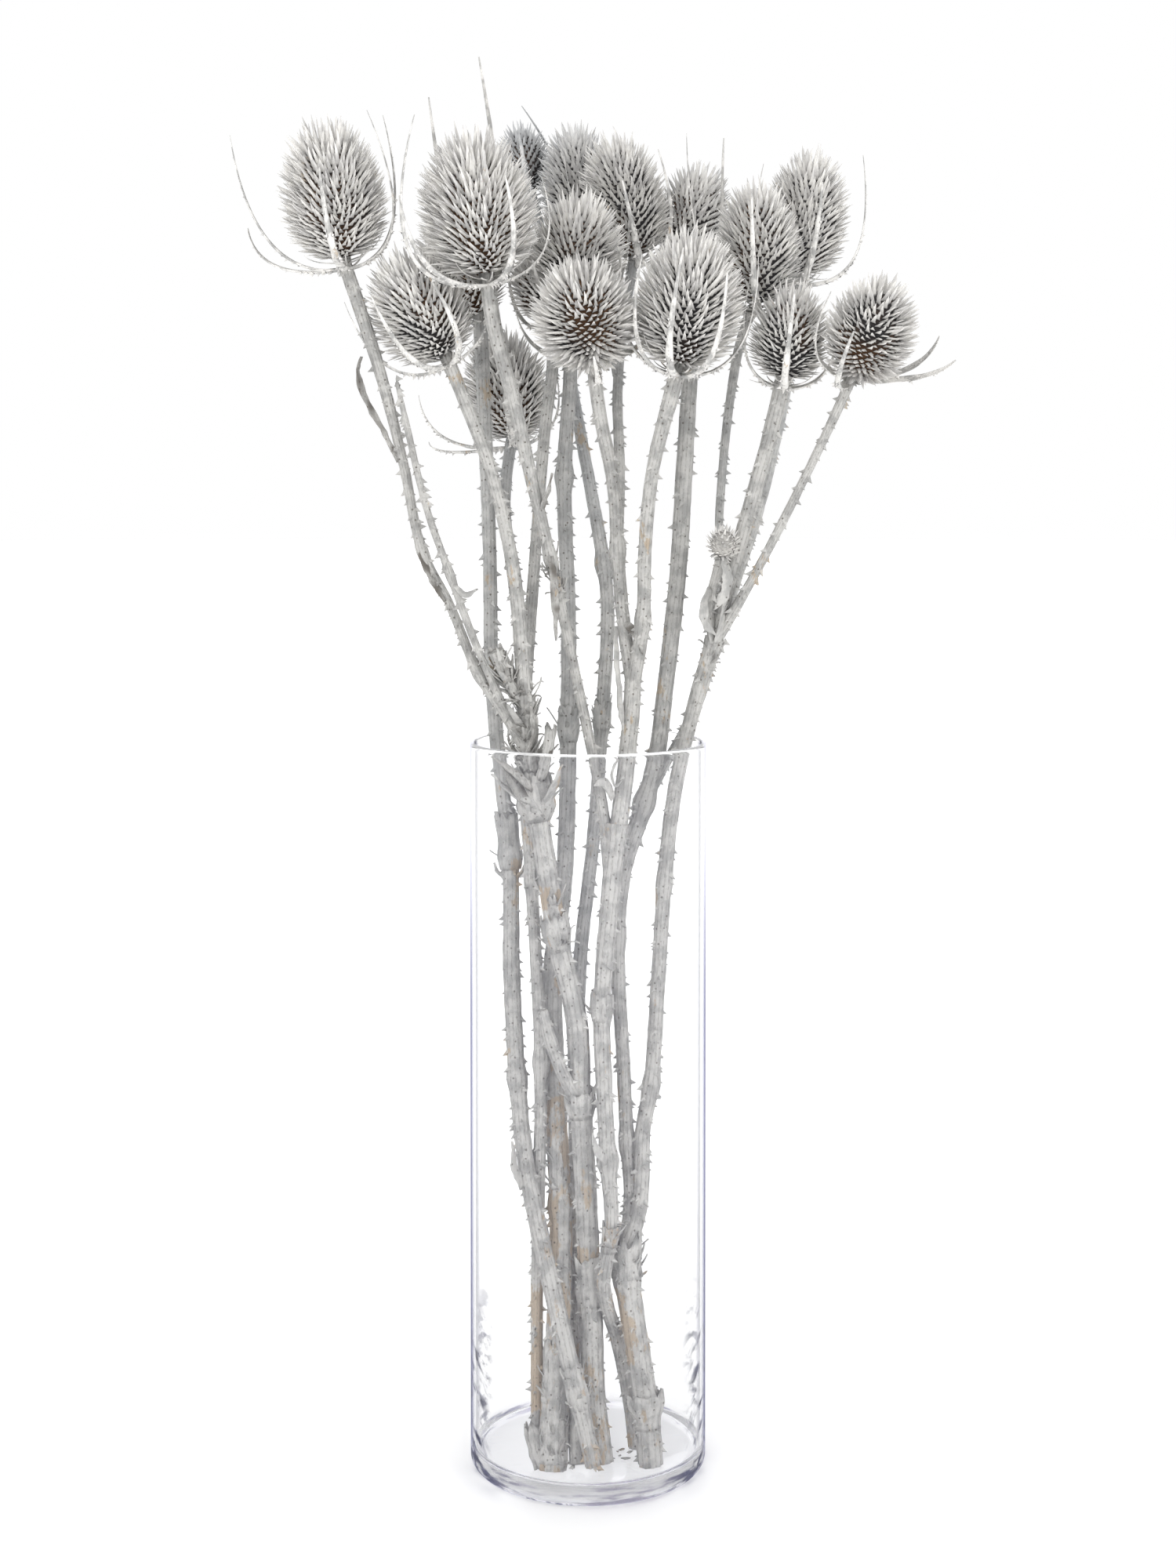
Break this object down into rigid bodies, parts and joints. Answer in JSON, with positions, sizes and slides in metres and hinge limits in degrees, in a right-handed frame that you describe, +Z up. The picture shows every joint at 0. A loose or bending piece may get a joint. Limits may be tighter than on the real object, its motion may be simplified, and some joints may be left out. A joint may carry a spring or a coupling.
{
  "type": "teasel seed heads in a glass vase",
  "caption": "Dried, whitewashed teasel seed heads with long curved bracts on branching ribbed stems, standing in a clear glass cylinder vase.",
  "frame": {"origin": "middle of the vase's underside", "axes": "+Z up the vase's axis, -Y towards the viewer of the picture's side, +X to that viewer's right"},
  "size_m": [0.3561, 0.1936, 0.7125],
  "materials": {
    "clear_glass": "clear polished glass, thicker at the floor",
    "whitewashed_teasel": "matt chalky pale grey paint on dry plant, darker and browner between the spines, tan where it has chipped"
  },
  "bodies": {
    "root": {"vase": "clear_glass", "teasel_centre_left": "whitewashed_teasel", "teasel_far_left": "whitewashed_teasel", "teasel_thin": "whitewashed_teasel", "teasel_middle": "whitewashed_teasel", "teasel_rear": "whitewashed_teasel", "teasel_right": "whitewashed_teasel", "teasel_front": "whitewashed_teasel"}
  },
  "joints": []
}
